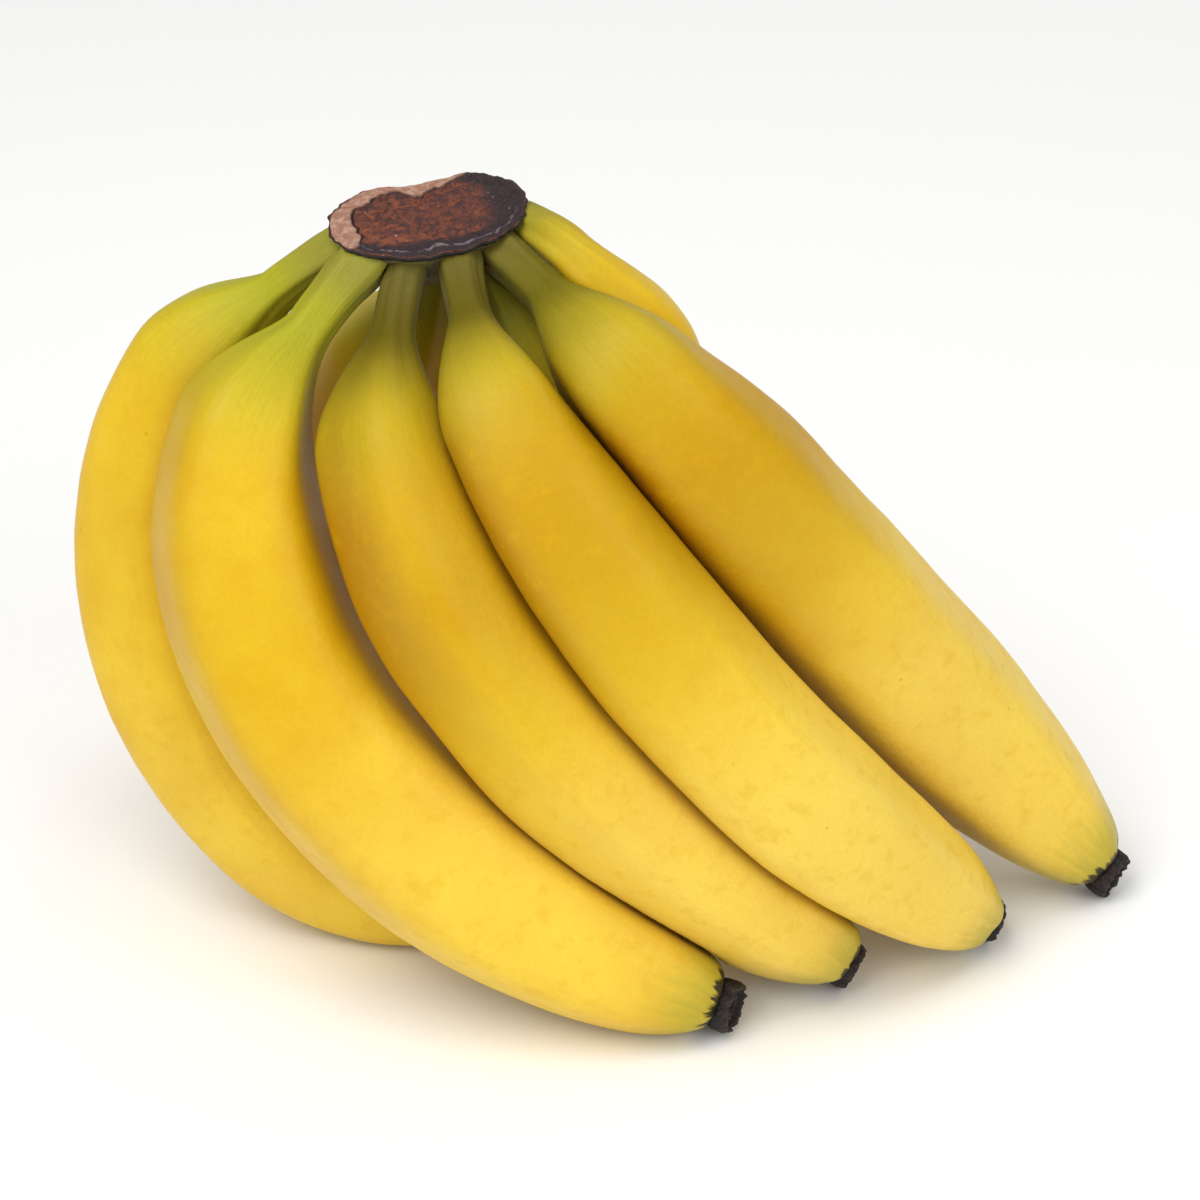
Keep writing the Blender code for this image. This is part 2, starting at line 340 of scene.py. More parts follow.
@dataclass(frozen=True)
class PeelFinish:
    """Ripe yellow peel that turns green at the stem and the tip, with shade and a highlight painted in.

    It reads the attribute course, which holds millimetres from the crown, millimetres from the
    blossom end, and how near a corner of the section is; the attribute flank, which holds the
    painted shade that a neighbour casts there, how far round on the hollow side it is, and how
    much amber shoulder, painted highlight low down and painted flank shade the finger takes; the
    attribute stem, which holds millimetres from the crown plus how far the finger's green has
    drawn back, and how much painted shade from the crown its stem takes; and the attribute grain,
    a seamless lengthwise coordinate.
    """

    lemon: Colour = tint(230, 193, 42)
    # The painted highlight's colour.
    pale: Colour = tint(240, 208, 92)
    gold: Colour = tint(210, 162, 6)
    amber: Colour = tint(176, 130, 0)
    ochre: Colour = tint(196, 134, 14)
    # The painted shade's colour, for creases and flanks that a neighbour shades.
    crease: Colour = tint(150, 94, 6)
    stem_green: Colour = tint(176, 176, 40)
    stem_deep: Colour = tint(138, 142, 26)
    # The painted shade's colour over the stems, where the crown shades them.
    painted_stem_shade_colour: Colour = tint(62, 58, 2)
    tip_green: Colour = tint(158, 150, 44)
    collar: Colour = tint(120, 112, 62)
    scorch: Colour = tint(28, 19, 16)
    fleck: Colour = tint(150, 98, 30)
    roughness: float = 0.42

    def build(self) -> bpy.types.Material:
        """Build the node graph.

        Returns:
            The material.
        """
        g = Graph("banana_peel_skin")
        here = g.place()
        along, from_tip, corner = g.parts(g.mark("course"))
        painted_shade, hollow, amber_and_painted_light = g.parts(g.mark("flank"))
        stalk, painted_stem_shade, _ = g.parts(g.mark("stem"))
        grain = g.mark("grain")
        broad = g.noise(here, 26.0, 2.0)
        drift = g.noise(here, 70.0, 3.0)
        mottle = g.noise(here, 240.0, 4.0, 0.6)
        fine = g.noise(here, 1100.0, 2.0)
        streak = g.noise(g.stretch(grain, (3.2, 3.2, 1.0)), 2.2, 3.0)
        fibre = g.noise(g.stretch(grain, (16.0, 16.0, 1.4)), 2.0, 3.0)

        skin = g.blend(g.smooth(broad + 0.4 * drift, 0.45, 1.05), self.lemon, self.gold)
        skin = g.blend(0.42 * g.smooth(hollow + 0.6 * (drift - 0.5), 0.45, 1.05), skin, self.gold)
        # Painted highlight: paler yellow on the lower part, more on the amber fingers.
        lower = g.smooth(along + 24.0 * (broad - 0.5), 82.0, 138.0)
        skin = g.blend((0.18 + 0.62 * amber_and_painted_light) * lower, skin, self.pale)
        shoulder = g.smooth(along, 26.0, 44.0) * g.smooth(along + 24.0 * (broad - 0.5), 118.0, 62.0)
        skin = g.blend(0.80 * amber_and_painted_light * shoulder, skin, self.amber)
        # Painted shade: deeper gold-brown where a neighbour is near and on flanks that face -X.
        skin = g.blend(0.85 * painted_shade, skin, self.crease)
        skin = g.blend(0.10 * corner * g.smooth(streak, 0.45, 0.62), skin, self.ochre)
        skin = g.blend(0.30 * g.smooth(mottle, 0.50, 0.72), skin, self.gold)
        spots = g.smooth(g.cells(here, 210.0), 0.10, 0.05) * g.smooth(g.noise(here, 60.0, 1.0), 0.60, 0.70)
        skin = g.blend(0.35 * spots, skin, self.fleck)

        neck = g.smooth(stalk + 3.0 * (streak - 0.5) + 8.0 * (drift - 0.5) + 5.0 * hollow, 54.0, 18.0)
        green = g.blend(0.45 * g.smooth(fibre, 0.35, 0.70), self.stem_green, self.stem_deep)
        # Painted shade: a dark green-brown over the stems of the fingers that the crown shades.
        green = g.blend(painted_stem_shade * g.smooth(along + 6.0 * (drift - 0.5), 48.0, 18.0), green, self.painted_stem_shade_colour)
        skin = g.blend(0.92 * neck, skin, green)
        skin = g.blend(0.50 * g.smooth(along + 3.0 * (mottle - 0.5), 17.0, 2.0), skin, self.collar)

        near_tip = g.smooth(from_tip + 14.0 * (streak - 0.5), 20.0, 1.0)
        skin = g.blend(0.72 * near_tip, skin, self.tip_green)
        burnt = g.smooth(from_tip + 8.0 * (g.noise(grain, 5.0, 3.0) - 0.5), 2.6, 1.2)
        skin = g.blend(0.95 * burnt, skin, self.scorch)

        tone = g.node("ShaderNodeMapRange", None, {0: fine, 1: 0.25, 2: 0.75, 3: 0.955, 4: 1.02})
        grey = g.node("ShaderNodeCombineXYZ", None, {0: tone, 1: tone, 2: tone})
        skin = g.blend(1.0, skin, grey, Lay.TIMES)

        rough = self.roughness + 0.16 * (mottle - 0.5) + 0.12 * (drift - 0.5) + 0.10 * neck
        normal = g.bump(fine, 0.00012, 0.55)
        normal = g.bump(mottle, 0.00035, 0.45, normal)
        normal = g.bump(fibre * g.smooth(along, 38.0, 12.0), 0.0004, 0.4, normal)
        return g.finish({"Base Color": skin, "Roughness": rough, "Normal": normal,
                         "Specular IOR Level": 0.16})


@dataclass(frozen=True)
class CutFinish:
    """Dried cut face of the crown, its tan sliced edge, dark rim and green-grey underside.

    It reads the attribute face, which holds how much tan edge, crack and dark end there is, and
    the attribute wall, which holds millimetres below the face, the pale lip, and the relief.
    """

    russet: Colour = tint(112, 56, 38)
    umber: Colour = tint(66, 33, 27)
    amber: Colour = tint(136, 72, 42)
    plum: Colour = tint(44, 26, 30)
    tan: Colour = tint(158, 110, 88)
    tan_pale: Colour = tint(190, 152, 130)
    black: Colour = tint(20, 13, 14)
    lip: Colour = tint(140, 122, 128)
    speck: Colour = tint(204, 178, 162)
    skin: Colour = tint(128, 124, 58)
    skin_grey: Colour = tint(104, 96, 66)

    def build(self) -> bpy.types.Material:
        """Build the node graph.

        Returns:
            The material.
        """
        g = Graph("crown_cut_face")
        here = g.place()
        tan, crack, dark = g.parts(g.mark("face"))
        depth, lip, relief = g.parts(g.mark("wall"))
        broad = g.noise(here, 170.0, 3.0)
        mottle = g.noise(here, 620.0, 5.0, 0.65)
        fine = g.noise(here, 2300.0, 3.0, 0.6)
        flesh = g.blend(g.smooth(mottle, 0.38, 0.62), self.umber, self.russet)
        flesh = g.blend(0.75 * g.smooth(broad + 0.3 * relief, 0.52, 0.78), flesh, self.amber)
        flesh = g.blend(g.smooth(dark + 0.5 * (broad - 0.5), 0.25, 0.8), flesh, self.plum)
        spots = g.smooth(g.cells(here, 620.0), 0.20, 0.08) * g.smooth(broad, 0.50, 0.62)
        flesh = g.blend(0.45 * spots, flesh, self.speck)
        edge = g.blend(g.smooth(mottle, 0.40, 0.66), self.tan, self.tan_pale)
        flesh = g.blend(tan, flesh, edge)
        flesh = g.blend(crack, flesh, self.black)
        flesh = g.blend(0.8 * lip * g.smooth(mottle, 0.40, 0.55), flesh, self.lip)
        below = g.smooth(depth + 0.8 * (mottle - 0.5), 0.25, 0.7)
        flesh = g.blend(below, flesh, self.black)
        under = g.blend(g.smooth(broad, 0.4, 0.6), self.skin, self.skin_grey)
        flesh = g.blend(g.smooth(depth + 1.0 * (mottle - 0.5), 1.7, 2.9), flesh, under)
        rough = 0.62 + 0.5 * (mottle - 0.5) - 0.12 * lip
        normal = g.bump(fine, 0.0003, 0.8)
        normal = g.bump(mottle, 0.0011, 0.9, normal)
        return g.finish({"Base Color": flesh, "Roughness": rough, "Normal": normal,
                         "Specular IOR Level": 0.5})


@dataclass(frozen=True)
class BlossomFinish:
    """Brittle black-brown dried flower remains, greyer on raised edges.

    It reads the attribute wear, which holds raised edges and the end face.
    """

    black: Colour = tint(22, 16, 19)
    brown: Colour = tint(58, 38, 30)
    ash: Colour = tint(112, 92, 84)

    def build(self) -> bpy.types.Material:
        """Build the node graph.

        Returns:
            The material.
        """
        g = Graph("blossom_end_dried")
        here = g.place()
        raised, face, _ = g.parts(g.mark("wear"))
        mottle = g.noise(here, 700.0, 5.0, 0.65)
        fine = g.noise(here, 2600.0, 3.0)
        crust = g.blend(g.smooth(mottle, 0.45, 0.72), self.black, self.brown)
        crust = g.blend(0.55 * raised * g.smooth(fine, 0.42, 0.62), crust, self.ash)
        crust = g.blend(0.30 * face * g.smooth(mottle, 0.50, 0.62), crust, self.brown)
        rough = 0.58 + 0.4 * (mottle - 0.5)
        normal = g.bump(fine, 0.0003, 0.8)
        normal = g.bump(mottle, 0.0012, 0.9, normal)
        return g.finish({"Base Color": crust, "Roughness": rough, "Normal": normal,
                         "Specular IOR Level": 0.4})


@dataclass(frozen=True)
class FloorFinish:
    """Plain pale matt floor."""

    pale: Colour = tint(251, 251, 250)
    shaded: Colour = tint(249, 249, 248)

    def build(self) -> bpy.types.Material:
        """Build the node graph.

        Returns:
            The material.
        """
        g = Graph("pale_floor")
        cast = g.blend(g.noise(g.place(), 6.0, 2.0), self.pale, self.shaded)
        return g.finish({"Base Color": cast, "Roughness": 0.85, "Specular IOR Level": 0.2})


# --- hand's geometry

@dataclass(frozen=True)
class CrownShape:
    """Where the crown's cut face lies and how big it is, with its levels as (depth, scale)."""

    centre: tuple[float, float, float] = (-36.1, -7.4, 159.4)
    tilt: float = 15.0
    turn: float = 14.0
    half_length: float = 20.5
    half_depth: float = 13.0
    kidney: float = 3.5
    notch_breadth: float = 9.0
    levels: tuple[tuple[float, float], ...] = (
        (0.0, 0.96), (1.0, 1.0), (2.5, 0.96), (5.0, 0.80), (10.0, 0.66), (14.5, 0.46))

    def axes(self) -> tuple[Array, Array, Array]:
        """Directions of the cut face: turned about its normal, then tilted about +X.

        Returns:
            Its long axis, cross axis and outward normal.
        """
        tilt, turn = math.radians(self.tilt), math.radians(self.turn)
        level = np.array([1.0, 0.0, 0.0])
        slope = np.array([0.0, math.cos(tilt), math.sin(tilt)])
        along = math.cos(turn) * level + math.sin(turn) * slope
        across = math.cos(turn) * slope - math.sin(turn) * level
        return along, across, np.cross(along, across)

    def outline(self, angle: Array) -> tuple[Array, Array]:
        """The kidney's edge: an ellipse whose far side is drawn in by a bell curve.

        Args:
            angle: angles round the face.

        Returns:
            Places along and across the face.
        """
        reach = self.half_length * np.cos(angle)
        notch = self.kidney * bell(reach, 0.0, self.notch_breadth) * (np.sin(angle) > 0.0)
        return reach, self.half_depth * np.sin(angle) - notch


@dataclass(frozen=True)
class FingerShape:
    """One banana: where it leaves the crown, where its tip lies, and its girth.

    seat is a place along and across the cut face and below it. leaves and arrives are an azimuth,
    a dip and a pull. tip is a place from the crown's centre in plan, and a height. radius is the
    widest, and roll the angle of one corner. The rest are parts from 0 to 1, but ripened, which
    is how many millimetres the green has drawn back.
    """

    name: str
    seat: tuple[float, float, float]
    leaves: tuple[float, float, float]
    tip: tuple[float, float, float]
    arrives: tuple[float, float, float]
    radius: float
    roll: float
    # painted_stem_shade is how much painted shade from the crown falls on the stem.
    painted_stem_shade: float = 0.6
    # amber_and_painted_light is how much amber shoulder, painted highlight and painted flank shade the
    # finger takes.
    amber_and_painted_light: float = 0.3
    ripened: float = 0.0

    def spine(self, crown: CrownShape, samples: int = 121) -> tuple[Array, Array]:
        """The cubic Bezier spine from the seat to the tip.

        Args:
            crown: the crown it leaves.
            samples: how many points.

        Returns:
            The points and the distance along the spine of each.
        """
        along, across, normal = crown.axes()
        centre = np.array(crown.centre)
        start = centre + self.seat[0] * along + self.seat[1] * across - self.seat[2] * normal
        end = np.array([centre[0] + self.tip[0], centre[1] + self.tip[1], self.tip[2]])
        first = start + self.leaves[2] * heading(*self.leaves[:2])
        second = end - self.arrives[2] * heading(*self.arrives[:2])
        t = np.linspace(0.0, 1.0, samples)[:, None]
        points = ((1 - t) ** 3 * start + 3 * t * (1 - t) ** 2 * first
                  + 3 * t ** 2 * (1 - t) * second + t ** 3 * end)
        steps = np.linalg.norm(np.diff(points, axis=0), axis=1)
        return points, np.concatenate([[0.0], np.cumsum(steps)])


FINGERS = (
    FingerShape("outer_1", (-13.5, -5.0, 5.5), (211, 37, 90), (62, -53, 5.4), (-5, 20, 69), 19.7, 49,
                painted_stem_shade=0.15, amber_and_painted_light=0.3),
    FingerShape("outer_2", (-4.5, -5.5, 6.0), (252, 33, 75), (86, -36, 3.2), (18, 46, 66), 18.5, 36,
                painted_stem_shade=0.95, amber_and_painted_light=0.75),
    FingerShape("outer_3", (4.5, -5.5, 6.0), (274, 14, 68), (116, -18, 3.3), (42, 37, 80), 17.2, 60,
                painted_stem_shade=0.95, amber_and_painted_light=0.85),
    FingerShape("outer_4", (12.5, -5.0, 7.5), (301, 6, 80), (143, -4, 3.3), (-14, 42, 88), 18.9, 36,
                painted_stem_shade=0.85, amber_and_painted_light=0.75),
    FingerShape("inner_1", (-17.0, 1.5, 7), (170, 34, 96), (19, -23, 18.3), (-11, -29, 66), 18.2, 30,
                painted_stem_shade=0.1, amber_and_painted_light=0.1),
    FingerShape("inner_2", (2.5, 4.0, 7), (40, 82, 47), (33, 70, 4.0), (-3, 22, 110), 18.0, 20),
    FingerShape("inner_3", (8.5, 2.5, 9), (311, 42, 75), (70, 47, 6.6), (54, 9, 64), 18.0, 20),
    FingerShape("inner_4", (17.0, 1.5, 8), (310, -10, 62), (108, 43, 3.5), (-2, 36, 116), 18.2, 20,
                painted_stem_shade=0.3, amber_and_painted_light=0.0, ripened=20.0),
)


@dataclass(frozen=True)
class Girth:
    """How thick a finger is along its length, as parts of its widest radius or in millimetres."""

    stem: float = 0.31
    stem_length: float = 17.0
    outer_shoulder: float = 24.0
    inner_shoulder: float = 58.0
    shoulder_ease: float = 0.8
    widest_at: float = 0.55
    belly: float = 0.17
    taper: float = 66.0
    tip: float = 0.30
    facets: int = 5
    stem_corners: float = 8.0
    body_corners: float = 6.0
    blossom: float = 5.5
    least: float = 2.2
    lean: tuple[float, float, float] = (0.30, -0.55, 0.32)

    def swell(self, distance: Array, length: float) -> Array:
        """Smooth step over a length, of the distance raised to a power, so it starts steeply."""
        return ease(np.clip(distance / length, 0.0, 1.0) ** self.shoulder_ease, 0.0, 1.0)

    def radius(self, s: Array, length: float, widest: float, outward: Array | float) -> Array:
        """Plain radius of a finger: stem rise times belly times the round fall to the tip.

        Args:
            s: distance along the spine.
            length: the spine's length.
            widest: the finger's widest radius.
            outward: 1 on the convex side and 0 on the concave side.

        Returns:
            The radius at each place.
        """
        past_stem = s - self.stem_length
        up = outward * self.swell(past_stem, self.outer_shoulder)
        up = up + (1.0 - outward) * self.swell(past_stem, self.inner_shoulder)
        rise = self.stem + (1.0 - self.stem) * up
        belly = 1.0 - self.belly * ((s / length - self.widest_at) / (1.0 - self.widest_at)) ** 2
        left = np.clip((length - self.blossom - s) / self.taper, 0.0, 1.0)
        fall = self.tip + (1.0 - self.tip) * np.sqrt(1.0 - (1.0 - left) ** 2)
        return widest * rise * belly * fall

    def section(self, angle: Array, roll: float, corners: Array) -> Array:
        """Rounded five-sided section over its mean.

        A facet holds the surface to 1 / cos(angle - facet); the facets are joined by a power mean
        whose power is the sharpness of the corners.

        Args:
            angle: angles round the section.
            roll: angle of one corner, in degrees.
            corners: sharpness for each ring.

        Returns:
            Factors as (rings, angles).
        """
        pitch = TURN / self.facets
        facets = math.radians(roll) + pitch * (np.arange(self.facets) + 0.5)
        facing = np.maximum(np.cos(angle[None, :, None] - facets), 0.0)
        factor = (facing ** corners[:, None, None]).sum(axis=2) ** (-1.0 / corners[:, None])
        return factor / factor.mean(axis=1, keepdims=True)


# --- pieces

@dataclass
class Tracks:
    """The spines of all the fingers, with their plain girths, for pressing them together."""

    crown: CrownShape
    girth: Girth
    gap: float = 0.5
    sharpness: float = 30.0
    no_limit: float = 1e3
    least_lean: float = 0.05
    spines: dict[str, tuple[Array, Array]] = field(default_factory=dict)

    def __post_init__(self) -> None:
        """Work out every spine."""
        self.spines = {shape.name: shape.spine(self.crown) for shape in FINGERS}

    def press(self, name: str, centre: Array, outwards: Array, radius: Array) -> tuple[Array, Array]:
        """Hold a finger back to its own side of the planes midway to its neighbours.

        A neighbour allows half of what is left between the two spines after the girths are shared
        out, along each outward direction. The limits and the radius are joined by a high power
        mean, which rounds the edges of the flattened places.

        Args:
            name: the finger's name.
            centre: ring centres as (rings, 3).
            outwards: unit vectors as (rings, sides, 3).
            radius: radii as (rings, sides).

        Returns:
            The radii held back, and the least spare room to any neighbour in millimetres.
        """
        power = radius ** -self.sharpness
        room = np.full(radius.shape, self.no_limit)
        surface = centre[:, None, :] + radius[..., None] * outwards
        for other in FINGERS:
            if other.name == name:
                continue
            points, run = self.spines[other.name]
            girths = self.girth.radius(run, run[-1], other.radius, 0.5)
            nearest = ((points ** 2).sum(axis=1) - 2.0 * surface @ points.T).argmin(axis=2)
            towards = points[nearest] - centre[:, None, :]
            reach = np.linalg.norm(towards, axis=2)
            lean = (outwards * towards).sum(axis=2) / reach
            limit = (reach + radius - girths[nearest] - self.gap) / 2.0
            limit = np.maximum(limit, self.girth.least) / np.maximum(lean, self.least_lean)
            limit = np.where(lean > self.least_lean, limit, self.no_limit)
            power = power + limit ** -self.sharpness
            room = np.minimum(room, limit - radius)
        return power ** (-1.0 / self.sharpness), room


@dataclass(frozen=True)
class Wave:
    """Unevenness of a surface: its height and the distance between crests, in millimetres."""

    height: float
    size: float

    def over(self, places: Array, seed: int) -> Array:
        """The height at each place."""
        return self.height * ripple(places, self.size, seed)


@dataclass
class FingerPiece:
    """One finger's peel and its blossom end.

    The root runs back into the crown and stays covered by it. The surface is drawn in by the
    shrink so that its unevenness stays within the CAD node, and nothing goes below the table.
    """

    shape: FingerShape
    girth: Girth
    tracks: Tracks
    seed: int
    rings: int = 230
    sides: int = 100
    root: float = 7.0
    cover: float = 2.0
    shrink: float = 0.30
    table: float = 0.03
    flare: float = 0.16
    flare_reach: float = 6.0
    broad: Wave = Wave(0.28, 42.0)
    slight: Wave = Wave(0.07, 14.0)
    flutes: Wave = Wave(0.16, 3.4)
    puckers: Wave = Wave(0.22, 3.0)
    pucker_reach: float = 6.0
    corner_breadth: float = 0.22
    cap_sides: int = 96
    cap_wall: int = 20
    cap_face: int = 25

    def stations(self, length: float) -> Array:
        """Distances of the rings: half evenly spaced and half by a cosine, closer at both ends.

        Args:
            length: the spine's length.

        Returns:
            Distances along the spine, below 0 in the root.
        """
        t = np.linspace(0.0, 1.0, self.rings)
        even = 0.5 * t + 0.25 * (1.0 - np.cos(math.pi * t))
        return even * (length - self.girth.blossom + self.root) - self.root

    def frames(self, s: Array) -> tuple[Array, Array, Array, Array]:
        """Centre, tangent and section axes at distances along the spine.

        Before its start the spine runs straight on, back into the crown.

        Args:
            s: distances.

        Returns:
            Centres, tangents, directions of the convex side, and sideways directions.
        """
        points, run = self.tracks.spines[self.shape.name]
        centre = np.stack([np.interp(s, run, points[:, k]) for k in range(3)], axis=1)
        slopes = np.gradient(points, run, axis=0)
        tangent = np.stack([np.interp(s, run, slopes[:, k]) for k in range(3)], axis=1)
        tangent /= np.linalg.norm(tangent, axis=1, keepdims=True)
        centre = centre + np.minimum(s, 0.0)[:, None] * tangent
        side = np.cross(slopes[0], slopes[-1])
        side = side - (tangent @ side)[:, None] * tangent
        side /= np.linalg.norm(side, axis=1, keepdims=True)
        return centre, tangent, np.cross(tangent, side), side

    def swollen(self, s: Array, angle: Array, length: float, centre: Array, outwards: Array) -> Array:
        """Radii before the neighbours press.

        Plain girth times the five-sided section, plus slow unevenness all over, lengthwise
        fluting on the stem and puckers at the tip. A bell curve flares the stem at the crown and
        a quarter ellipse rounds off the root.

        Args:
            s: distances of the rings along the spine.
            angle: angles round the section.
            length: the spine's length.
            centre: ring centres as (rings, 3).
            outwards: unit vectors as (rings, sides, 3).

        Returns:
            Radii as (rings, sides).
        """
        girth = self.girth
        on = np.maximum(s, 0.0)[:, None]
        radius = girth.radius(on, length, self.shape.radius, (1.0 + np.cos(angle)) / 2.0)
        neck = np.clip(s / (girth.stem_length + girth.outer_shoulder), 0.0, 1.0)
        corners = girth.stem_corners + (girth.body_corners - girth.stem_corners) * neck
        radius = radius * girth.section(angle, self.shape.roll, corners)
        left = length - girth.blossom - s[:, None]
        around = stacked(np.cos(angle) * 6.0, np.sin(angle) * 6.0, s[:, None] / 14.0)
        surface = centre[:, None, :] + radius[..., None] * outwards
        radius = radius - self.shrink
        radius = radius + self.broad.over(surface, self.seed) + self.slight.over(surface, self.seed + 1)
        on_stem = 1.0 - ease(s[:, None], 16.0, 44.0)
        radius = radius + on_stem * self.flutes.over(around, self.seed + 2)
        at_tip = np.exp(-left / self.pucker_reach)
        radius = radius + at_tip * self.puckers.over(around, self.seed + 3)
        radius = radius * (1.0 + self.flare * bell(s[:, None], 1.0, self.flare_reach))
        back = np.clip(-s / (self.root + 0.4), 0.0, 1.0)
        return radius * np.sqrt(1.0 - back ** 2)[:, None]

    def covered(self, rings: Array, s: Array) -> Array:
        """Points with the root sunk until the crown covers it, and none below the table.

        Args:
            rings: points as (rings, sides, 3).
            s: distances of the rings along the spine.

        Returns:
            The points moved.
        """
        _, _, normal = self.tracks.crown.axes()
        depth = (np.array(self.tracks.crown.centre) - rings) @ normal
        sink = np.maximum(self.cover - depth, 0.0) * (1.0 - ease(s[:, None], 5.0, 12.0))
        rings = rings - sink[..., None] * normal
        rings[..., 2] = np.maximum(rings[..., 2], self.table)
        return rings

    def marks(self, s: Array, angle: Array, left: Array, outwards: Array, room: Array) -> dict[str, Array]:
        """The peel's attributes.

        Painted shade falls off with e to the minus room to the neighbours, mostly on flanks that face
        -X, and fades down the finger. An amber finger's shoulder takes painted shade on that flank too.

        Args:
            s: distances of the rings along the spine.
            angle: angles round the section.
            left: distances to the blossom end.
            outwards: unit vectors as (rings, sides, 3).
            room: spare room to the nearest neighbour.

        Returns:
            Vectors as (rings, sides, 3) for course, flank, stem and grain.
        """
        along = s[:, None]
        pitch = TURN / self.girth.facets
        off = (angle - math.radians(self.shape.roll) + pitch / 2.0) % pitch - pitch / 2.0
        facing = -outwards[..., 0]
        # Painted shade near the neighbours, strongest on flanks that face -X.
        shade = np.exp(-np.maximum(room, 0.0) / 4.0) * ease(along, 14.0, 34.0)
        shade = shade * (0.25 + 0.75 * ease(facing, -0.1, 0.6))
        shade = shade * (1.0 - 0.6 * ease(along, 70.0, 130.0))
        # More painted shade on the -X flank of an amber finger's shoulder.
        under = ease(facing, 0.15, 0.85) * ease(along, 16.0, 36.0)
        under = under * (1.0 - ease(along, 55.0, 115.0)) * self.shape.amber_and_painted_light
        shade = np.maximum(shade, 0.85 * under)
        hollow = (1.0 - np.cos(angle)) / 2.0
        return {
            "course": stacked(along, left, bell(off, 0.0, self.corner_breadth)[None, :]),
            "flank": stacked(shade, hollow[None, :], self.shape.amber_and_painted_light),
            "stem": stacked(along + self.shape.ripened, self.shape.painted_stem_shade, np.zeros((1, self.sides))),
            "grain": stacked(np.cos(angle), np.sin(angle), along / 40.0 + self.seed),
        }

    def surface(self) -> tuple[Array, dict[str, Array], tuple]:
        """The peel's surface: the swollen radii held back by the neighbours and covered.

        Returns:
            Ring points in millimetres, the attributes, and the end ring's frame and radii.
        """
        _, run = self.tracks.spines[self.shape.name]
        length = run[-1]
        s = self.stations(length)
        centre, tangent, convex, side = self.frames(s)
        angle = circuit(self.sides)
        outwards = (np.cos(angle)[None, :, None] * convex[:, None, :]
                    + np.sin(angle)[None, :, None] * side[:, None, :])
        radius = np.maximum(self.swollen(s, angle, length, centre, outwards), 0.2)
        radius, room = self.tracks.press(self.shape.name, centre, outwards, radius)
        rings = self.covered(centre[:, None, :] + radius[..., None] * outwards, s)
        left = length - self.girth.blossom - s[:, None]
        marks = self.marks(s, angle, left, outwards, room)
        return rings, marks, (centre[-1], tangent[-1], convex[-1], side[-1], radius[-1])

    def profile(self, angle: Array, fit: Array) -> tuple[Array, Array, Array]:
        """The blossom end's wall and end face, before it is bent.

        A folded wall runs from a ragged edge laid over the peel to a broken lip, then the end
        face dips inside the lip, rises in one inner ring and ends in a small scar.

        Args:
            angle: angles round the cap.
            fit: the peel's radii at its end ring.

        Returns:
            Lift along the finger, width from its middle line, and how raised each point is.
        """
        seed, wall_rows = self.seed, self.cap_wall
        folds = np.stack([np.cos(angle), np.sin(angle)], axis=-1)
        base = np.interp(angle, np.append(circuit(self.sides), TURN), np.append(fit, fit[0]))
        full = 0.92 * self.girth.tip * self.shape.radius
        ragged = Wave(0.7, 0.55).over(folds, seed + 5) + Wave(0.5, 0.22).over(folds, seed + 6)
        lip = Wave(0.45, 0.5).over(folds, seed + 7) + Wave(0.25, 0.2).over(folds, seed + 8)
        crease = ripple(folds, 0.34, seed + 9)
        wall = np.linspace(0.0, 1.0, wall_rows)[:, None]
        face = np.linspace(0.0, 1.0, self.cap_face + 1)[1:, None]

        start = -0.3 - 0.7 * (1.0 + ragged)
        stop = self.girth.blossom - 1.0 + 0.45 * np.clip(lip, -1.4, 1.4)
        swell = ease(wall, 0.0, 0.45)
        width = (base + 0.16 + 0.10 * wall) * (1.0 - swell) + full * swell
        width = width * (1.0 - 0.10 * ease(wall, 0.75, 1.0))
        width = width + 0.22 * wall * crease + Wave(0.10, 0.14).over(folds, seed + 10)

        dish = 1.3 * ease(face, 0.05, 0.35) - 0.55 * bell(face, 0.55, 0.09) - 0.5 * bell(face, 1.0, 0.12)
        inwards = folds[None] * (1.0 - face)[..., None] * 4.0
        rough = Wave(0.16, 1.1).over(inwards, seed + 11) * (1.0 - face)
        lift = np.concatenate([start + wall * (stop - start), stop - dish + rough])
        width = np.concatenate([width, width[-1:] * (1.0 - face)])
        lift = np.concatenate([lift[:1] + 0.6, lift])
        width = np.concatenate([(base - 0.7)[None], width])

        rims = bell(face, 0.0, 0.10) + bell(face, 0.55, 0.08)
        raised = np.concatenate([np.zeros((1, len(angle))), ease(crease, 0.2, 1.1) * wall,
                                 np.broadcast_to(rims, (self.cap_face, len(angle)))])
        raised[wall_rows] = 1.0
        return lift, width, np.clip(raised, 0.0, 1.0)

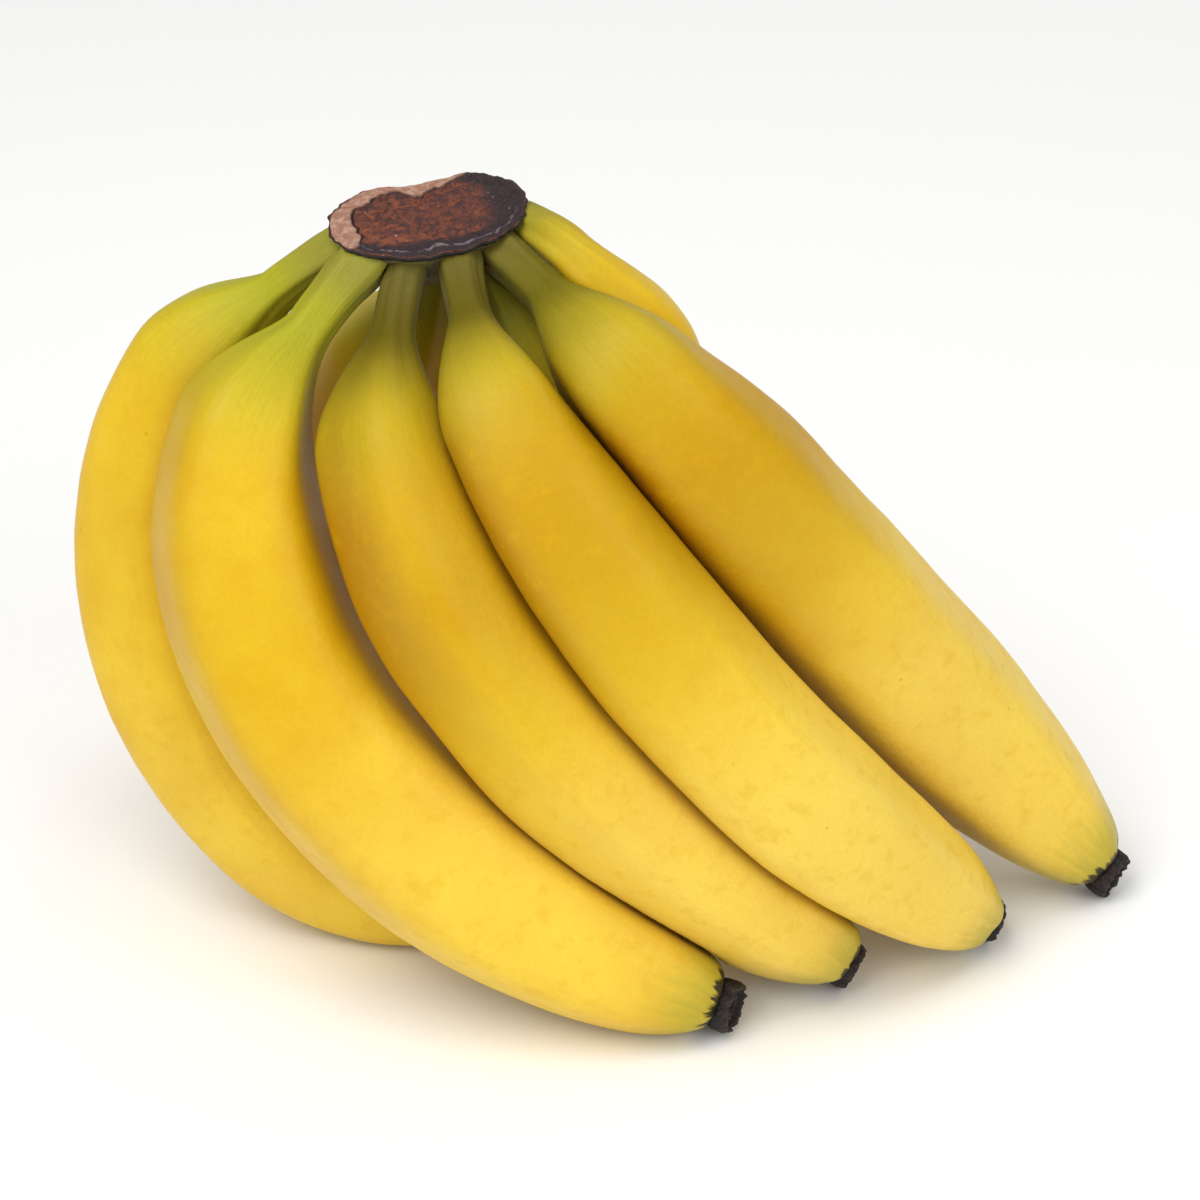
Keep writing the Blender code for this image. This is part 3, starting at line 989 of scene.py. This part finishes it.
    def blossom(self, end: tuple) -> tuple[Array, dict[str, Array]]:
        """The dried end that caps the finger.

        The cap bends by its lean from the finger's direction to the end face's direction, as
        each ring is turned from one direction to the other without a twist.

        Args:
            end: the finger's end ring: centre, tangent, section axes and radii.

        Returns:
            Ring points in millimetres and the attributes.
        """
        centre, tangent, convex, side, fit = end
        angle = circuit(self.cap_sides)
        lift, width, raised = self.profile(angle, fit)
        circle = np.cos(angle)[:, None] * convex + np.sin(angle)[:, None] * side
        part = np.clip(lift / self.girth.blossom, 0.0, 1.0)[..., None]
        facing = tangent + part * np.array(self.girth.lean)
        facing = facing / np.linalg.norm(facing, axis=-1, keepdims=True)
        halfway = (tangent + facing) / np.linalg.norm(tangent + facing, axis=-1, keepdims=True)
        fall = (circle * facing).sum(axis=-1, keepdims=True) / (1.0 + (facing @ tangent)[..., None])
        turned = circle - fall * (tangent + facing)
        rings = centre + lift[..., None] * halfway + width[..., None] * turned
        rings[..., 2] = np.maximum(rings[..., 2], self.table)
        on_face = (np.arange(len(lift)) > self.cap_wall).astype(float)[:, None]
        return rings, {"wear": stacked(raised, on_face, 0.0)}

    def build(self, peel: bpy.types.Material, dried: bpy.types.Material) -> None:
        """Make the peel and the blossom end and hand them to the frame.

        Args:
            peel: the peel's material.
            dried: the blossom end's material.
        """
        rings, marks, end = self.surface()
        skin = closed_mesh("peel_" + self.shape.name, rings, marks)
        place(skin, peel, "finger_" + self.shape.name)
        rings, marks = self.blossom(end)
        cap = closed_mesh("blossom_" + self.shape.name, rings, marks)
        place(cap, dried, "blossom_end_" + self.shape.name)


@dataclass
class CrownPiece:
    """The cut crown: its dried face, the tan sliced edge, the dark rim and the green underside."""

    shape: CrownShape
    sides: int = 420
    rows: int = 96
    rim_rows: int = 22
    under_rows: int = 22
    rim_depth: float = 3.0
    lip_inset: float = 1.3

    def build(self, cut: bpy.types.Material) -> None:
        """Make the crown and hand it to the frame.

        Args:
            cut: the crown's material.
        """
        rings, marks = self.surface()
        piece = closed_mesh("crown_piece", rings, marks)
        place(piece, cut, "crown")

    def sliced(self, angle: Array, loop: Array) -> tuple[Array, Array]:
        """Where the face's edge was sliced off, at the far side and the -X end.

        Args:
            angle: angles round the face.
            loop: the outline as (sides, 2).

        Returns:
            How far each angle belongs to the slice, and the slice's breadth there.
        """
        behind = ease(np.sin(angle), -0.30, 0.25) * ease(-np.cos(angle), -0.62, -0.30)
        at_end = ease(-np.cos(angle), 0.72, 0.93) * ease(np.sin(angle), -0.75, -0.35)
        far = np.maximum(behind, at_end)
        breadth = (2.3 + 2.3 * ease(-np.cos(angle), 0.35, 0.95)) * far
        jag = Wave(0.50, 6.0).over(loop, 43) + Wave(0.16, 2.4).over(loop, 44)
        return far, np.where(far > 0.02, breadth + jag * far, 0.0)

    def face(self, angle: Array, loop: Array, top: Array) -> tuple[Array, Array, Array, Array]:
        """The cut face from its middle outwards.

        A part w of the outline is a point's place, and its depth is the sum of relief, the sunk
        middle, the crack, the fall of the sliced edge and of the rim, less the lip near -Y.

        Args:
            angle: angles round the face.
            loop: the outline as (sides, 2).
            top: the uneven scale of the outline at the rim.

        Returns:
            Places on the face as (rows, sides, 2), depths, and the two attributes.
        """
        w = np.linspace(0.03, 1.0, self.rows)[:, None]
        flat = w[..., None] * top[:, None] * loop
        inward = (1.0 - w) * np.linalg.norm(loop, axis=1) * top
        inward = inward * (0.62 + 0.38 * np.abs(np.cos(angle)))
        far, breadth = self.sliced(angle, loop)
        past = inward - breadth
        tan = (1.0 - ease(past, -0.35, 0.05)) * ease(far, 0.1, 0.5)
        crack = bell(np.maximum(np.abs(past) - 0.05, 0.0), 0.0, 0.26) * ease(far, 0.15, 0.6)
        relief = (Wave(0.6, 3.4).over(flat, 45) + Wave(0.45, 1.5).over(flat, 46)
                  + Wave(0.2, 0.8).over(flat, 47))
        depth = 0.35 + 0.75 * ease(past, 0.0, 1.6) * (1.0 - tan) + 0.30 * relief * (1.0 - 0.75 * tan)
        depth = depth + 0.9 * crack + tan * np.maximum(breadth - inward, 0.0) * 0.30
        depth = np.maximum(depth + 0.35 * ease(w, 0.93, 1.0) * (1.0 - tan), 0.02)
        near = ease(-np.sin(angle), 0.15, 0.6)
        lip = bell(inward, self.lip_inset + 0.3 * ripple(loop, 5.0, 48), 0.22) * near
        depth = np.maximum(depth - 0.25 * lip, 0.02)
        dark = ease(flat[..., 0], 6.0, 17.0) * 0.95 + 0.75 * (1.0 - ease(inward, 0.6, 4.2)) * (1.0 - tan)
        dark = np.clip(dark + 0.55 * ease(-flat[..., 1], 3.0, 10.0), 0.0, 1.0)
        return (flat, depth, stacked(tan, np.clip(crack, 0.0, 1.0), dark * (1.0 - tan)),
                stacked(0.0, lip, relief))

    def wall(self, loop: Array, uneven: Array, edge: Array) -> tuple[Array, Array, Array]:
        """The crown's side below the face's edge, by its levels, with an uneven rim.

        The face's depth at its edge dies out by e to the minus depth, so the two parts join.

        Args:
            loop: the outline as (sides, 2).
            uneven: the rim's unevenness, as a part of the outline.
            edge: the face's depth at its edge.

        Returns:
            Places across the face as (rows, sides, 2), falls below it, and levels as (rows,).
        """
        levels = np.array(self.shape.levels)
        down = np.concatenate([np.linspace(0.0, self.rim_depth, self.rim_rows),
                               np.linspace(3.4, levels[-1, 0], self.under_rows)])
        scale = np.interp(down, levels[:, 0], levels[:, 1])
        fall = down[:, None] + edge * np.exp(-down / 1.2)[:, None]
        fold = 0.010 * ripple(loop, 3.0, 49) - 0.010 - 0.03 * bell(down[:, None], 2.6, 0.5)
        girth = scale[:, None] * (1.0 + uneven + fold * ease(down, 0.0, 0.8)[:, None])
        return (girth[..., None] * loop)[1:], fall[1:], down[1:]

    def surface(self) -> tuple[Array, dict[str, Array]]:
        """The crown's surface: the face from its middle outwards, then the wall downwards.

        Returns:
            Ring points in millimetres and the attributes.
        """
        along, across, normal = self.shape.axes()
        angle = circuit(self.sides)
        loop = np.stack(self.shape.outline(angle), axis=-1)
        uneven = 0.012 * ripple(loop, 7.0, 41) + 0.008 * ripple(loop, 2.2, 42) - 0.018
        top = self.shape.levels[0][1] * (1.0 + uneven)
        flat, depth, face_marks, wall_marks = self.face(angle, loop, top)
        lower, fall, down = self.wall(loop, uneven, depth[-1])
        flat = np.concatenate([flat, lower])
        depth = np.concatenate([depth, fall])
        rings = (np.array(self.shape.centre) + flat[..., 0:1] * along + flat[..., 1:2] * across
                 - depth[..., None] * normal)
        nothing = np.zeros(fall.shape)
        below = stacked(np.broadcast_to(down[:, None], fall.shape), nothing, nothing)
        return rings, {"face": np.concatenate([face_marks, stacked(nothing, nothing, nothing)]),
                       "wall": np.concatenate([wall_marks, below])}


def place(piece: bpy.types.Object, finish: bpy.types.Material, node: str) -> None:
    """Dress a piece and let it stand for its CAD node.

    Args:
        piece: the object.
        finish: its material.
        node: the CAD node that it stands for.
    """
    piece.data.materials.append(finish)
    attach(piece, "root")
    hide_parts(node)
    LOG.info("%s stands for %s with %d faces", piece.name, node, len(piece.data.polygons))


# --- studio

@dataclass
class Studio:
    """Floor, soft lights and the camera."""

    aim: tuple[float, float, float] = (-2.4, -5.4, 69.3)
    elevation: float = 30.92
    distance: float = 1.0
    lens: float = 146.2
    floor_half: float = 6.0

    def build(self) -> None:
        """Make all of it."""
        self.camera()
        self.floor()
        self.light("key", (-0.50, -0.60, 1.35), 1.0, 15.5)
        self.light("fill", (-1.0, -1.3, 0.7), 1.0, 3.5)
        self.light("front", (0.9, -1.1, 0.9), 1.0, 8.0)
        self.light("back", (0.9, 0.5, 1.3), 0.9, 4.0)
        self.sky(0.40)
        settings = bpy.context.scene.view_settings
        settings.view_transform = "Standard"
        settings.look = "None"

    def camera(self) -> None:
        """A long lens that looks along +Y and down by the elevation at the aim."""
        data = bpy.data.cameras.new("camera")
        data.lens = self.lens
        data.sensor_width = 36.0
        data.clip_end = 50.0
        item = bpy.data.objects.new("camera", data)
        up = math.radians(self.elevation)
        away = Vector((0.0, -math.cos(up), math.sin(up)))
        item.location = Vector(self.aim) * MM + away * self.distance
        item.rotation_euler = (-away).to_track_quat("-Z", "Y").to_euler()
        bpy.context.scene.collection.objects.link(item)
        bpy.context.scene.camera = item

    def floor(self) -> None:
        """A flat pale floor under the hand."""
        half = self.floor_half
        mesh = bpy.data.meshes.new("floor")
        mesh.from_pydata([(-half, -half, 0.0), (half, -half, 0.0), (half, half, 0.0), (-half, half, 0.0)],
                         [], [(0, 1, 2, 3)])
        item = bpy.data.objects.new("floor", mesh)
        mesh.materials.append(FloorFinish().build())
        bpy.context.scene.collection.objects.link(item)

    def light(self, name: str, place_at: tuple[float, float, float], size: float, power: float) -> None:
        """A square soft light that faces the hand.

        Args:
            name: the light's name.
            place_at: its place in metres.
            size: its side in metres.
            power: its power in watts.
        """
        data = bpy.data.lights.new(name, "AREA")
        data.energy = power
        data.size = size
        item = bpy.data.objects.new(name, data)
        item.location = place_at
        aim = Vector((0.0, 0.0, 0.07)) - item.location
        item.rotation_euler = aim.to_track_quat("-Z", "Y").to_euler()
        bpy.context.scene.collection.objects.link(item)

    def sky(self, strength: float) -> None:
        """An even white surround.

        Args:
            strength: its brightness.
        """
        world = bpy.data.worlds.new("surround")
        world.use_nodes = True
        ground = world.node_tree.nodes["Background"]
        ground.inputs["Color"].default_value = (1.0, 1.0, 1.0, 1.0)
        ground.inputs["Strength"].default_value = strength
        bpy.context.scene.world = world


def main() -> None:
    """Build the hand piece by piece and set the studio round it."""
    logging.basicConfig(level=logging.INFO, format="%(name)s: %(message)s")
    Studio().build()
    crown, girth = CrownShape(), Girth()
    tracks = Tracks(crown, girth)
    peel, dried = PeelFinish().build(), BlossomFinish().build()
    CrownPiece(crown).build(CutFinish().build())
    for index, shape in enumerate(FINGERS):
        FingerPiece(shape, girth, tracks, seed=100 + 17 * index).build(peel, dried)


if __name__ == "__main__":
    main()
